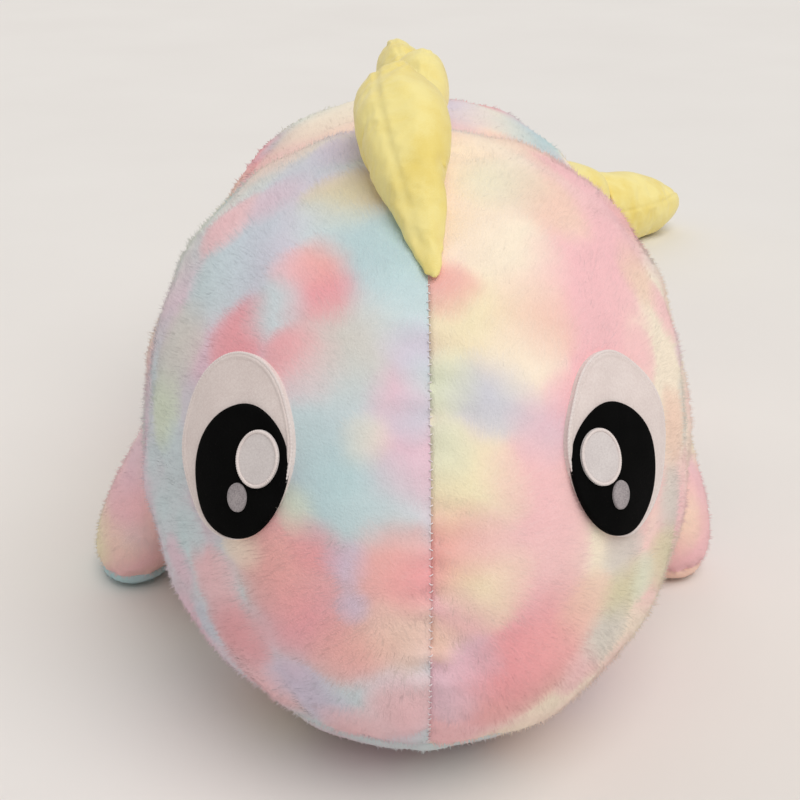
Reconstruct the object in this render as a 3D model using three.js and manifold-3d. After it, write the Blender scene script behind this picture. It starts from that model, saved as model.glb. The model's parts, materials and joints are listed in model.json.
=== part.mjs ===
// A big stuffed crocodile lying on its belly: plush panels sewn over soft filling,
// with sewn-on legs, a row of back fins and a tail that curls to its left.
// Millimetres, +Z up, snout towards -Y, origin in the middle of the flat belly.
import * as THREE from "three";
import { mergeVertices } from "three/addons/utils/BufferGeometryUtils.js";
import Module from "manifold-3d";

const wasm = await Module();
wasm.setup();

// Cloth and clearances
const PLUSH = 5;
const FIN_CLOTH = 2.4;
const PATCH = 2.2;
const GAP = 0.3;
const FLOOR_GAP = 1;

// Snout: from its tip back to the widest ring of the head
const SNOUT_LENGTH = 270;
const SNOUT_HEIGHT = 118;
const SNOUT_BLUNTNESS = 2.15;

// Body sections behind the snout; sag is how far the belly would hang below the floor
const HEAD = { halfWidth: 207, top: 406, widest: 178, sag: 24 };
const NECK = { after: 190, halfWidth: 188, top: 346, widest: 166, sag: 22 };
const HUMP = { after: 180, halfWidth: 194, top: 352, widest: 166, sag: 24 };
const RUMP = { after: 240, halfWidth: 148, top: 262, widest: 132, sag: 8 };
const BODY_FULLNESS = 2.15;
const BELLY_CENTRE = 450;
const BELLY_SEAM = 40;

// Eyes: a white patch, a dark pupil and two highlights, each one layer higher
const EYE_TURN = 46;
const EYE_RAISE = 17;
const EYE_ROLL = 10;
const EYE_ROOT = { behindTip: 190, height: 196 };
const EYE_WIDTH = 92;
const EYE_HEIGHT = 118;
const PUPIL_WIDTH = 73;
const PUPIL_HEIGHT = 87;
const PUPIL_INWARD = 9;
const PUPIL_EDGE = 2;
const SHINE_WIDTH = 29;
const SHINE_HEIGHT = 37;
const SHINE_INWARD = 17;
const SHINE_RAISE = 8;
const GLINT_WIDTH = 14;
const GLINT_HEIGHT = 18;
const GLINT_INWARD = 4;
const GLINT_RAISE = -18;

// Legs hang from a seam on the flank; splay is how far each one leans outwards
const LEG_HINGE_HEIGHT = 132;
const LEG_DIP = 16;
const LEG_ROOT_HALF = 42;
const LEG_FOOT_HALF = 62;
const LEG_ROOT_THICK = 30;
const LEG_FOOT_THICK = 43;
const LEG_ROUND = 80;
const LEG_LIFT = 45;
const SOLE_SEAM = 15;
const FRONT_LEGS_AT = 372;
const REAR_LEGS_AT = 700;
const FRONT_RIGHT_SPLAY = 22;
const FRONT_LEFT_SPLAY = 12;
const REAR_SPLAY = 20;

// Fins stand on the back seam; lean is towards the crocodile's left
const FIN_BURY = 14;
const FIN_ROOT_HALF = 9;
const FIN_PEAK = 0.6;
const FIN_FLOP = 34;
const FIN_THINNING = 0.28;
const FIN_1 = { behindTip: 209, length: 206, height: 58, thickness: 70, lean: -34 };
const FIN_2 = { behindTip: 545, length: 150, height: 60, thickness: 50, lean: 13 };
const FIN_3 = { behindTip: 715, length: 136, height: 66, thickness: 46, lean: -12 };
const FIN_4 = { behindTip: 845, length: 108, height: 50, thickness: 38, lean: -6 };

// Tail: an arc that starts over the rump's hinge and turns to the crocodile's left
const TAIL_ARC_RADIUS = 480;
const TAIL_TURN = 58;
const TAIL_ROOT_HALF = 126;
const TAIL_END_HALF = 66;
const TAIL_ROOT_TOP = 240;
const TAIL_END_TOP = 124;
const TAIL_SAG = 8;
const TIP_LENGTH = 212;
const TIP_ROOT_HALF = 58;
const TIP_ROOT_TOP = 112;
const TIP_ROOT_ROUND = 20;
const TIP_ROUND = 112;
const TIP_TAPER = 0.72;

const RING_POINTS = 24;
const LIMB_POINTS = 14;
const SWEEP_STEP = 12;
const FINENESS = 0.05;

const rad = THREE.MathUtils.degToRad;
const lerp = THREE.MathUtils.lerp;
const smooth = (share) => THREE.MathUtils.smoothstep(share, 0, 1);
const rounded = (wave, power) => Math.sign(wave) * Math.abs(wave) ** (2 / power);
const range = (count) => Array.from({ length: count }, (_, index) => index);

// A closed body from rings of points and a pole at each end; without an end pole
// the last ring must fold shut on itself
function loft(rings, startPole, endPole) {
  const around = rings[0].length;
  const points = [startPole, ...rings.flat()];
  const at = (ring, point) => 1 + ring * around + (point % around);
  const last = points.length;
  if (endPole) points.push(endPole);
  const index = [];
  for (const point of range(around)) {
    index.push(0, at(0, point), at(0, point + 1));
    for (const ring of range(rings.length - 1)) {
      index.push(at(ring, point), at(ring + 1, point), at(ring, point + 1));
      index.push(at(ring, point + 1), at(ring + 1, point), at(ring + 1, point + 1));
    }
    if (endPole) index.push(last, at(rings.length - 1, point + 1), at(rings.length - 1, point));
  }
  const geometry = new THREE.BufferGeometry().setFromPoints(points);
  geometry.setIndex(index);
  return solid(geometry);
}

function solid(geometry) {
  const plain = geometry.clone();
  plain.deleteAttribute("normal");
  plain.deleteAttribute("uv");
  const merged = mergeVertices(plain, 1e-4);
  const vertProperties = new Float32Array(merged.attributes.position.array);
  const corners = merged.index.array;
  const kept = range(corners.length / 3)
    .map((triangle) => [0, 1, 2].map((corner) => corners[triangle * 3 + corner]))
    .filter(([a, b, c]) => a !== b && b !== c && c !== a);
  const triVerts = new Uint32Array(kept.flat());
  return new wasm.Manifold(new wasm.Mesh({ numProp: 3, vertProperties, triVerts }));
}

function geometryOf(body) {
  const mesh = body.getMesh();
  const geometry = new THREE.BufferGeometry();
  geometry.setAttribute("position", new THREE.BufferAttribute(mesh.vertProperties, 3));
  geometry.setIndex(new THREE.BufferAttribute(mesh.triVerts, 1));
  return geometry;
}

// The main lump of a cut body, without crumbs that the cut may leave
const main = (body) => body.decompose().sort((a, b) => b.volume() - a.volume())[0];

const keepAbove = (body, height) => body.trimByPlane([0, 0, 1], height);
const keepBelow = (body, height) => body.trimByPlane([0, 0, -1], -height);

// Body sections along its length, measured back from the snout's tip
const NECK_AT = SNOUT_LENGTH + NECK.after;
const HUMP_AT = NECK_AT + HUMP.after;
const RUMP_AT = HUMP_AT + RUMP.after;
const STATIONS = [
  { at: SNOUT_LENGTH, ...HEAD },
  { at: NECK_AT, ...NECK },
  { at: HUMP_AT, ...HUMP },
  { at: RUMP_AT, ...RUMP },
];
const lengthwise = (behindTip) => behindTip - BELLY_CENTRE;

function sectionAt(behindTip) {
  const found = STATIONS.findIndex((station) => station.at >= behindTip);
  const next = found < 0 ? STATIONS.length - 1 : Math.max(1, found);
  const [from, to] = [STATIONS[next - 1], STATIONS[next]];
  const share = smooth((behindTip - from.at) / (to.at - from.at));
  const between = (size) => lerp(from[size], to[size], share);
  return {
    halfWidth: between("halfWidth"),
    top: between("top"),
    widest: between("widest"),
    sag: between("sag"),
  };
}

const snoutShare = (behindTip, inset) => {
  const ahead = Math.max(0, (SNOUT_LENGTH - behindTip) / (SNOUT_LENGTH - inset));
  return (1 - Math.min(1, ahead) ** SNOUT_BLUNTNESS) ** (1 / SNOUT_BLUNTNESS);
};

// One ring round the body; a turn above zero sweeps it round the upright hinge of the tail
function bodyRing(behindTip, inset, turn) {
  const section = sectionAt(behindTip);
  const share = snoutShare(behindTip, inset);
  const centre = lerp(SNOUT_HEIGHT, section.widest, share);
  return range(RING_POINTS).map((index) => {
    const angle = (index / RING_POINTS) * Math.PI * 2;
    const upright = rounded(Math.sin(angle), BODY_FULLNESS);
    const sideways = rounded(Math.cos(angle), BODY_FULLNESS);
    const rise = upright > 0 ? section.top - section.widest : section.widest + section.sag;
    const x = share * (section.halfWidth - inset) * sideways;
    const z = centre + share * (rise - inset) * upright;
    return new THREE.Vector3(
      x * Math.cos(turn),
      lengthwise(behindTip) + Math.abs(x) * Math.sin(turn),
      z,
    );
  });
}

// The whole body, drawn in by an inset or let out by a negative one
function bodySolid(inset) {
  const snoutRings = 7;
  const backRings = 13;
  const capRings = 5;
  const rings = [];
  for (const step of range(snoutRings)) {
    const share = 1 - Math.cos((((step + 1) / snoutRings) * Math.PI) / 2);
    rings.push(bodyRing(inset + (SNOUT_LENGTH - inset) * share, inset, 0));
  }
  for (const step of range(backRings)) {
    const share = (step + 1) / backRings;
    rings.push(bodyRing(lerp(SNOUT_LENGTH, RUMP_AT, share), inset, 0));
  }
  for (const step of range(capRings)) {
    rings.push(bodyRing(RUMP_AT, inset, rad((90 * (step + 1)) / capRings)));
  }
  const tip = new THREE.Vector3(0, lengthwise(inset), SNOUT_HEIGHT);
  return keepAbove(loft(rings, tip), Math.max(0, inset));
}

// A stuffed limb along a line; side is its first cross direction, round is how far in from
// each end it is rounded, and no rounding leaves it blunt
function limbSolid(line, side, steps, sizeAt, round, inset) {
  const length = line.getLength();
  const shrink = round ? inset : 0;
  const used = length - 2 * shrink;
  const shares = round
    ? range(steps - 1).map((step) => 0.5 - 0.5 * Math.cos(((step + 1) / steps) * Math.PI))
    : range(steps + 1).map((step) => step / steps);
  const taperAt = (share) => {
    if (!round) return 1;
    const before = 1 - (share * used) / (round.start - shrink);
    const beyond = 1 - ((1 - share) * used) / (round.finish - shrink);
    return Math.sqrt(1 - Math.max(0, before, beyond) ** 2);
  };
  const placeAt = (share) => (shrink + share * used) / length;
  const rings = shares.map((share) => {
    const place = placeAt(share);
    const along = line.getTangentAt(place);
    const across = side.clone().addScaledVector(along, -side.dot(along)).normalize();
    const up = across.clone().cross(along);
    const taper = taperAt(share);
    const size = sizeAt(place);
    return range(LIMB_POINTS).map((index) => {
      const angle = (index / LIMB_POINTS) * Math.PI * 2;
      const upright = Math.sin(angle);
      const rise = upright > 0 ? size.up : size.down;
      return line
        .getPointAt(place)
        .addScaledVector(across, taper * (size.half - inset) * Math.cos(angle))
        .addScaledVector(up, taper * (rise - inset) * upright);
    });
  });
  return loft(rings, line.getPointAt(placeAt(0)), line.getPointAt(placeAt(1)));
}

// A turn about an axis through a point, as a matrix
function turnAbout(point, axis, degrees) {
  const turn = new THREE.Matrix4().makeRotationAxis(axis, rad(degrees));
  const back = new THREE.Matrix4().makeTranslation(point.clone().negate());
  return new THREE.Matrix4().makeTranslation(point).multiply(turn).multiply(back);
}

// What is left of a limb when it must stay clear of its base through the hinge's whole range
function clearOf(limb, base, point, axis, from, to) {
  const steps = Math.ceil((to - from) / SWEEP_STEP);
  let clear = limb;
  for (const step of range(steps + 1)) {
    const degrees = lerp(from, to, step / steps);
    const turned = base.transform(turnAbout(point, axis, -degrees).elements);
    clear = clear.subtract(turned);
  }
  return clear.simplify(FINENESS);
}

// A round about an upright hinge; a clear one is let out, so that its flats clear the circle
function turningRound(hinge, half, bottom, widest, top, fullness, steps, clear) {
  const flats = 16;
  const letOut = clear ? 1 / Math.cos(Math.PI / flats) : 1;
  const profile = range(steps + 1).map((index) => {
    const angle = rad(-90 + (180 * index) / steps);
    const upright = rounded(Math.sin(angle), fullness);
    const reach = index % steps ? half * rounded(Math.cos(angle), fullness) : 0;
    const rise = upright > 0 ? top - widest : widest - bottom;
    return new THREE.Vector2(reach * letOut, widest + rise * upright);
  });
  const round = new THREE.LatheGeometry(profile, flats);
  round.rotateX(Math.PI / 2);
  round.translate(hinge.x, hinge.y, 0);
  return solid(round);
}

const croc = new THREE.Group();
croc.name = "plush_crocodile";

const colours = {
  tieDyeRight: 0xb9cfe3,
  tieDyeLeft: 0xf1d6cf,
  belly: 0xe9d3dd,
  leg: 0xf0cbd2,
  sole: 0x9fd0cd,
  fin: 0xf2e8a6,
  tail: 0xd9d3e6,
  white: 0xf4f3ef,
  black: 0x1b1a1c,
  grey: 0xa9aab0,
  filling: 0xf7f6f2,
};

// Soft cloth is fully rough; the eye's stitched thread has a little sheen
function piece(name, body, colour, roughness = 0.95) {
  const geometry = geometryOf(main(body));
  geometry.computeVertexNormals();
  const material = new THREE.MeshStandardMaterial({ color: colour, roughness, metalness: 0 });
  const node = new THREE.Mesh(geometry, material);
  node.name = name;
  croc.add(node);
}

// Body cover in two side panels and a belly panel, over its filling
const bodyOuter = bodySolid(0);
const bodyGrown = bodySolid(-GAP);
const bodyCover = bodyOuter.subtract(bodySolid(PLUSH));
const bodySides = keepAbove(bodyCover, BELLY_SEAM + GAP / 2);
piece("left_body_panel", bodySides.trimByPlane([1, 0, 0], GAP / 2), colours.tieDyeLeft);
piece("right_body_panel", bodySides.trimByPlane([-1, 0, 0], GAP / 2), colours.tieDyeRight);
piece("belly_panel", keepBelow(bodyCover, BELLY_SEAM - GAP / 2), colours.belly);
piece("body_stuffing", bodySolid(PLUSH + GAP), colours.filling);

// A layer of cloth that follows the body's surface at a height of so many layers
const layers = range(3).map((level) => {
  const under = -(GAP + level * (PATCH + GAP));
  return bodySolid(under - PATCH).subtract(bodySolid(under));
});

// An upright oval punch aimed out of the head along an eye's axis
function eyePunch(side, width, height, inward, raise) {
  const oval = new THREE.Shape().absellipse(0, 0, width / 2, height / 2, 0, Math.PI * 2);
  const depth = HEAD.top;
  const punch = new THREE.ExtrudeGeometry(oval, { depth, curveSegments: 10, bevelEnabled: false });
  const place = new THREE.Group();
  place.position.set(0, lengthwise(EYE_ROOT.behindTip), EYE_ROOT.height);
  const aim = new THREE.Object3D();
  aim.rotation.set(rad(90 - EYE_RAISE), 0, rad(side * EYE_TURN), "ZYX");
  const roll = new THREE.Object3D();
  roll.rotation.z = rad(-side * EYE_ROLL);
  const shift = new THREE.Object3D();
  shift.position.set(-side * inward, raise, 0);
  place.add(aim);
  aim.add(roll);
  roll.add(shift);
  place.updateMatrixWorld(true);
  return solid(punch.applyMatrix4(shift.matrixWorld));
}

for (const [name, side] of [["left_eye", 1], ["right_eye", -1]]) {
  const pupilRaise = (PUPIL_HEIGHT - EYE_HEIGHT) / 2 + PUPIL_EDGE;
  const patch = eyePunch(side, EYE_WIDTH, EYE_HEIGHT, 0, 0);
  const pupil = eyePunch(side, PUPIL_WIDTH, PUPIL_HEIGHT, PUPIL_INWARD, pupilRaise);
  const shineIn = PUPIL_INWARD + SHINE_INWARD;
  const shine = eyePunch(side, SHINE_WIDTH, SHINE_HEIGHT, shineIn, pupilRaise + SHINE_RAISE);
  const glintIn = PUPIL_INWARD + GLINT_INWARD;
  const glint = eyePunch(side, GLINT_WIDTH, GLINT_HEIGHT, glintIn, pupilRaise + GLINT_RAISE);
  piece(`${name}_patch`, layers[0].intersect(patch), colours.white, 0.8);
  piece(`${name}_pupil`, layers[1].intersect(pupil), colours.black, 0.7);
  piece(`${name}_shine`, layers[2].intersect(shine), colours.white, 0.6);
  piece(`${name}_glint`, layers[2].intersect(glint), colours.grey, 0.6);
}

// Legs: an upper panel and a sole panel over filling, hinged on the flank seam
const legs = [
  { name: "front_right", side: -1, behindTip: FRONT_LEGS_AT, splay: FRONT_RIGHT_SPLAY },
  { name: "front_left", side: 1, behindTip: FRONT_LEGS_AT, splay: FRONT_LEFT_SPLAY },
  { name: "rear_right", side: -1, behindTip: REAR_LEGS_AT, splay: REAR_SPLAY },
  { name: "rear_left", side: 1, behindTip: REAR_LEGS_AT, splay: REAR_SPLAY },
];
for (const leg of legs) {
  const section = sectionAt(leg.behindTip);
  const lowered = (section.widest - LEG_HINGE_HEIGHT) / (section.widest + section.sag);
  const flank = section.halfWidth * (1 - Math.abs(lowered) ** BODY_FULLNESS) ** (1 / BODY_FULLNESS);
  const hinge = new THREE.Vector3(leg.side * flank, lengthwise(leg.behindTip), LEG_HINGE_HEIGHT);
  const lean = rad(leg.splay);
  const down = new THREE.Vector3(leg.side * Math.sin(lean), 0, -Math.cos(lean));
  const root = hinge.clone().addScaledVector(down, -LEG_ROOT_THICK);
  const foot = hinge.clone().addScaledVector(down, (hinge.z + LEG_DIP) / Math.cos(lean));
  const line = new THREE.LineCurve3(root, foot);
  const sizeAt = (share) => {
    const thick = lerp(LEG_ROOT_THICK, LEG_FOOT_THICK, smooth(share));
    return { half: lerp(LEG_ROOT_HALF, LEG_FOOT_HALF, smooth(share)), up: thick, down: thick };
  };
  const side = new THREE.Vector3(0, 1, 0);
  const round = { start: LEG_ROOT_THICK, finish: LEG_ROUND };
  const liftAxis = new THREE.Vector3(0, -leg.side, 0);
  const whole = (inset) =>
    keepAbove(limbSolid(line, side, 9, sizeAt, round, inset), FLOOR_GAP + inset);
  const trimmed = (body) => clearOf(body, bodyGrown, hinge, liftAxis, 0, LEG_LIFT);
  const cover = trimmed(whole(0).subtract(whole(PLUSH)));
  piece(`${leg.name}_leg_panel`, keepAbove(cover, SOLE_SEAM + GAP / 2), colours.leg);
  piece(`${leg.name}_sole_panel`, keepBelow(cover, SOLE_SEAM - GAP / 2), colours.sole);
  piece(`${leg.name}_leg_stuffing`, trimmed(whole(PLUSH + GAP)), colours.filling);
}

// Fins: a leaf of two panels over filling that follows the back seam
const fins = [
  { name: "fin_1", ...FIN_1 },
  { name: "fin_2", ...FIN_2 },
  { name: "fin_3", ...FIN_3 },
  { name: "fin_4", ...FIN_4 },
];
for (const fin of fins) {
  const ridge = (behindTip) => {
    const share = snoutShare(behindTip, 0);
    const top = lerp(SNOUT_HEIGHT, sectionAt(behindTip).top, share);
    return new THREE.Vector3(0, lengthwise(behindTip), top);
  };
  const slopeAt = (behindTip) =>
    ridge(behindTip + 2).sub(ridge(behindTip - 2)).normalize();
  const hinge = ridge(fin.behindTip);
  const axis = slopeAt(fin.behindTip);
  const finSolid = (inset) => {
    const steps = 10;
    const rings = range(steps - 1).map((step) => {
      const share = 0.5 - 0.5 * Math.cos(((step + 1) / steps) * Math.PI);
      const along = (share - 0.5) * (fin.length - 2 * inset);
      const base = ridge(fin.behindTip + along);
      const slope = slopeAt(fin.behindTip + along);
      const up = new THREE.Vector3(1, 0, 0).cross(slope);
      const swell = Math.sin(Math.PI * share ** (Math.log(0.5) / Math.log(FIN_PEAK)));
      const height = fin.height * swell ** 0.8 - inset;
      const half = lerp(FIN_ROOT_HALF, fin.thickness / 2, swell ** 0.7) - inset;
      return range(LIMB_POINTS).map((index) => {
        const angle = (index / LIMB_POINTS) * Math.PI * 2;
        const lift = (1 + Math.sin(angle)) / 2;
        const fat = Math.cos(angle) * (1 - FIN_THINNING * lift);
        return base
          .clone()
          .addScaledVector(up, lerp(-FIN_BURY, Math.max(2, height), lift))
          .add(new THREE.Vector3(half * fat, 0, 0));
      });
    });
    const ends = [-0.5, 0.5].map((end) => {
      const place = ridge(fin.behindTip + end * (fin.length - 2 * inset));
      return place.setZ(place.z - FIN_BURY / 2);
    });
    return loft(rings, ends[0], ends[1]);
  };
  const leaning = (body) => {
    const shape = geometryOf(body);
    const places = shape.attributes.position;
    for (const index of range(places.count)) {
      const place = new THREE.Vector3().fromBufferAttribute(places, index);
      const seam = ridge(place.y + BELLY_CENTRE);
      place.sub(seam).applyAxisAngle(new THREE.Vector3(0, 1, 0), rad(fin.lean)).add(seam);
      places.setXYZ(index, place.x, place.y, place.z);
    }
    return solid(shape);
  };
  const trimmed = (body) =>
    clearOf(leaning(body), bodyGrown, hinge, axis, -FIN_FLOP - fin.lean, FIN_FLOP - fin.lean);
  const cover = finSolid(0).subtract(finSolid(FIN_CLOTH));
  const leftHalf = cover.trimByPlane([1, 0, 0], GAP / 2);
  const rightHalf = cover.trimByPlane([-1, 0, 0], GAP / 2);
  piece(`${fin.name}_left_panel`, trimmed(leftHalf), colours.fin, 0.75);
  piece(`${fin.name}_right_panel`, trimmed(rightHalf), colours.fin, 0.75);
  piece(`${fin.name}_stuffing`, trimmed(finSolid(FIN_CLOTH + GAP)), colours.filling);
}

// Tail: two plush panels over filling, swinging round the rump's upright hinge
const tailHinge = new THREE.Vector3(0, lengthwise(RUMP_AT), 0);
class TailArc extends THREE.Curve {
  getPoint(share) {
    const turned = rad(TAIL_TURN) * share;
    const x = TAIL_ARC_RADIUS * (1 - Math.cos(turned));
    return new THREE.Vector3(x, tailHinge.y + TAIL_ARC_RADIUS * Math.sin(turned), 0);
  }
}
const tailArc = new TailArc();
const tailEnd = tailArc.getPoint(1);
const tailHeading = tailArc.getTangent(1);

// Tail and tip lie on the floor: their line is raised to the height of the widest part
function floorLimb(arc, steps, halfAt, topAt, round, inset) {
  const raised = new THREE.Curve();
  raised.getPoint = (share) => arc.getPoint(share).setZ(topAt(share) / 2);
  raised.getPointAt = raised.getPoint;
  raised.getTangentAt = (share) => arc.getTangent(share);
  raised.getLength = () => arc.getLength();
  const sizeAt = (share) => ({
    half: halfAt(share),
    up: topAt(share) / 2,
    down: topAt(share) / 2 + TAIL_SAG,
  });
  const whole = limbSolid(raised, new THREE.Vector3(1, 0, 0), steps, sizeAt, round, inset);
  return keepAbove(whole, FLOOR_GAP + inset);
}

// A short upright round ends the tail, so that the tip can turn about it
const tailRound = (inset, clear) =>
  turningRound(
    tailEnd,
    TAIL_END_HALF - inset,
    inset - TAIL_SAG,
    TAIL_END_TOP / 2,
    TAIL_END_TOP - inset,
    2,
    LIMB_POINTS / 2,
    clear,
  );
function tailSolid(inset) {
  const halfAt = (share) => lerp(TAIL_ROOT_HALF, TAIL_END_HALF, share);
  const topAt = (share) => lerp(TAIL_ROOT_TOP, TAIL_END_TOP, share);
  const tube = floorLimb(tailArc, 9, halfAt, topAt, null, inset);
  return keepAbove(tube.add(tailRound(inset, false)), FLOOR_GAP + inset);
}

const rumpRound = turningRound(
  tailHinge,
  RUMP.halfWidth + GAP,
  -RUMP.sag - GAP,
  RUMP.widest,
  RUMP.top + GAP,
  BODY_FULLNESS,
  RING_POINTS / 2,
  true,
);
const tailCover = tailSolid(0).subtract(tailSolid(PLUSH)).subtract(rumpRound);
piece("tail_stuffing", tailSolid(PLUSH + GAP).subtract(rumpRound), colours.filling);
const tailTop = keepAbove(tailCover, BELLY_SEAM + GAP / 2);
piece("tail_upper_panel", tailTop, colours.tail);
piece("tail_lower_panel", keepBelow(tailCover, BELLY_SEAM - GAP / 2), colours.belly);

// Tail tip: a yellow stuffed cone of two panels, turning about the tail's rounded end
const tipLine = new THREE.LineCurve3(
  tailEnd,
  tailEnd.clone().addScaledVector(tailHeading, TIP_LENGTH),
);
const tipHalf = (share) => TIP_ROOT_HALF * lerp(1, TIP_TAPER, share);
const tipTop = (share) => TIP_ROOT_TOP * lerp(1, TIP_TAPER, share);
const tailGrown = tailRound(-GAP, true);
const tipEnds = { start: TIP_ROOT_ROUND, finish: TIP_ROUND };
const tipSolid = (inset) => floorLimb(tipLine, 9, tipHalf, tipTop, tipEnds, inset);
const tipCover = tipSolid(0).subtract(tipSolid(FIN_CLOTH)).subtract(tailGrown);
const tipSeam = TIP_ROOT_TOP / 2;
piece("tail_tip_upper_panel", keepAbove(tipCover, tipSeam + GAP / 2), colours.fin, 0.75);
piece("tail_tip_lower_panel", keepBelow(tipCover, tipSeam - GAP / 2), colours.fin, 0.75);
piece("tail_tip_stuffing", tipSolid(FIN_CLOTH + GAP).subtract(tailGrown), colours.filling);

export default croc;
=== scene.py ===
import json
import math

import bmesh
import bpy
import numpy as np
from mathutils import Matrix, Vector
from mathutils.bvhtree import BVHTree
from mathutils.kdtree import KDTree


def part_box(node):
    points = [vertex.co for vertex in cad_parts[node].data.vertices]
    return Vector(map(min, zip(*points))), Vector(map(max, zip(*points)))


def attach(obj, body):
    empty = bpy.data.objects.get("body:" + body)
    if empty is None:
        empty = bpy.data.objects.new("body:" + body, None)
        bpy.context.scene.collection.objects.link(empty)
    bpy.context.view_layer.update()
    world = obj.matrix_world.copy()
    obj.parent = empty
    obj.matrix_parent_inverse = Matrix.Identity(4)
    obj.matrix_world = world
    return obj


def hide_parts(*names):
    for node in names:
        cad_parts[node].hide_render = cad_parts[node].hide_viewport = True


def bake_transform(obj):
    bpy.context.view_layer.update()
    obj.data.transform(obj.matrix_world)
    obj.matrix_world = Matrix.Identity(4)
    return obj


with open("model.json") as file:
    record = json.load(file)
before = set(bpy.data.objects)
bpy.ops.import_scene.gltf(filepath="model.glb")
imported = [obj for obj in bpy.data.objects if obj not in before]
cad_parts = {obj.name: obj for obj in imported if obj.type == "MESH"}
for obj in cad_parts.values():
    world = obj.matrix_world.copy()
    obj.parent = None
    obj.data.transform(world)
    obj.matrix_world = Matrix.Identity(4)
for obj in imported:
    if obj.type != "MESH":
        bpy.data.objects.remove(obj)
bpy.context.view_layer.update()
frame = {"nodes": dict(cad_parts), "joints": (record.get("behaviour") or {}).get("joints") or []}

scene = bpy.context.scene
scene.view_settings.view_transform = "Standard"

# Sizes in metres. Where the seams run and the head ends:
BELLY_SEAM = 0.040
SOLE_SEAM = 0.015
TAIL_SEAM_AT = 0.340
CUFF_LENGTH = 0.062
HEAD_END = -0.06

# Covers: thickness, voxels of the remesh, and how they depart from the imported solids
COVER = 0.003
BODY_VOXEL = 0.008
LEG_VOXEL = 0.0055
TIP_VOXEL = 0.0045
FIN_VOXEL = 0.0026
SKIN_DROP = 0.0045
SIDE_DROP = 0.008
SIDE_FADE = 0.03
HEAD_HALF_WIDTH = 0.2
TAIL_END = 0.010
TAIL_END_RADIUS = 0.070
TAIL_END_FADE = 0.020
TAIL_END_LOWER = 0.05
TIP_SINK = 0.012
FIN_CROWN = 0.0045
FIN_SLOPE = 0.012
FIN_FLAT_EDGE = 0.016
FIN_FOOT = 0.003

# Cloth that is held while the filling presses: heights over floor and back, reach at seams
BODY_REST = 0.010
LEG_REST = 0.006
TIP_REST = 0.005
FIN_ROOT = 0.004
FIN_SEAM_HELD = 0.0025
TIP_SEAM_HELD = 0.002

# Uneven cloth: height, distance and seed of its bumps
BODY_BUMPS = (0.0012, 0.075, 6)
FIN_BUMPS = (0.0003, 0.060, 61)
TIP_BUMPS = (0.0004, 0.045, 63)

# Seams: depth and half width of the groove; height, distance, reach and seed of its puckers
CENTRE_FOLD = (0.0024, 0.0045, 0.0012, 0.018, 0.016, 3)
BELLY_FOLD = (0.0028, 0.006, 0.0012, 0.020, 0.006, 4)
TAIL_FOLD = (0.0026, 0.007, 0.0014, 0.022, 0.007, 5)
CUFF_FOLD = (0.0022, 0.006, 0.0008, 0.016, 0.006, 7)
SOLE_FOLD = (0.0024, 0.005, 0.0010, 0.016, 0.005, 50)
FIN_FOLD = (0.0009, 0.0022, 0.0005, 0.012, 0.006, 60)
TIP_FOLD = (0.0011, 0.0022, 0.0003, 0.012, 0.008, 62)

# Least heights over the floor
COVER_GAP = 0.0006
PILE_GAP = 0.0008
LIMB_GAP = 0.0012

# Pile: sizes, then angles in radians from the cover's normal, then shares and counts
PILE_LENGTH = 0.0054
PILE_THICKNESS = 0.00030
ROOT_DEPTH = 0.0006
HEAD_SPACING = 0.0019
BODY_SPACING = 0.0036
SEAM_PARTING = 0.0015
FIN_PARTING = 0.004
LOWEST_ROOT = 0.003
LYING = 1.34
LYING_BEHIND = 0.09
LYING_SPREAD = 0.07
LYING_WAVES = (0.05, 0.09, 40)
STANDING_LIFT = 0.7
STANDING = 0.10
STANDING_FEWER = 0.8
LENGTH_SPREAD = 0.22
TUFTING = 0.25
STRANDS_PER_TUFT = 9
MOST_STRANDS = 48000

# Combing: spread, fall, parting at the centre seam, looseness; height, distance, seed of swirls
COMB_SPREAD = 4.0
COMB_FALL = 0.2
COMB_PARTING = 0.8
PARTING_WIDTH = 0.006
COMB_LOOSE = 0.25
COMB_SWIRLS = [(0.22, 0.16, 20), (0.14, 0.035, 30)]

# Stitches of the centre seam
STITCH_STEP = 0.0055
STITCH_REACH = 0.0012
STITCH_SLANT = 0.0012
STITCH_RISE = 0.0012
STITCH_CLEARANCE = 0.003
THREAD = 0.0004
BACK_FROM = 0.2

# Legs: the ball that fills each joint, and how far the foot points outwards
PLUG_HALF = (0.030, 0.043, 0.040)
FOOT_SPLAY = 0.35

# Fins: reach and pull at the front end, at its very tip and at the rear end
FIN_PULLS = [
    (0.022, (0, -0.002, -0.006)),
    (0.009, (0.003, -0.006, -0.005)),
    (0.020, (0, 0, -0.007)),
]

# Eyes
PUPIL_DROP = 0.0018
EYE_CLEARANCE = 1.015

# Eye layers: bottom and top over the cover, rounded share of the radius, height of the rim
EYE_LAYERS = {
    "patch": (-0.002, 0.0042, 0.035, 0.0007),
    "pupil": (0.0030, 0.0062, 0.030),
    "shine": (0.0050, 0.0076, 0.080),
    "glint": (0.0050, 0.0074, 0.090),
}

# Stitched borders of the eyes: share of the radius, height, thickness, turns of thread
EYE_BORDERS = {"patch": (0.985, 0.0040, 0.0012, 150), "shine": (0.93, 0.0076, 0.0011, 70)}

# Dye colours as they look in plain light, 0 to 255, but for a darker lemon and a greyed ivory that
# paint shade
DYES = {
    "aqua": (184, 214, 218),
    "pale_aqua": (206, 224, 228),
    "sky": (206, 213, 226),
    "lavender": (214, 200, 222),
    "lilac": (232, 198, 212),
    "rose": (242, 160, 166),
    "coral": (246, 176, 168),
    "pink": (247, 195, 199),
    "peach": (246, 210, 190),
    "cream": (252, 238, 216),
    "lemon": (248, 238, 198),
    "mint": (224, 232, 206),
    # A greyed ivory: a pale dye, darkened further as painted shade on the head's shaded right side
    # and low on its left side
    "ivory": (218, 213, 204),
    # A darker lemon: painted shade beside the first fin and low on the head's left side
    "straw": (220, 214, 176),
}
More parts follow.
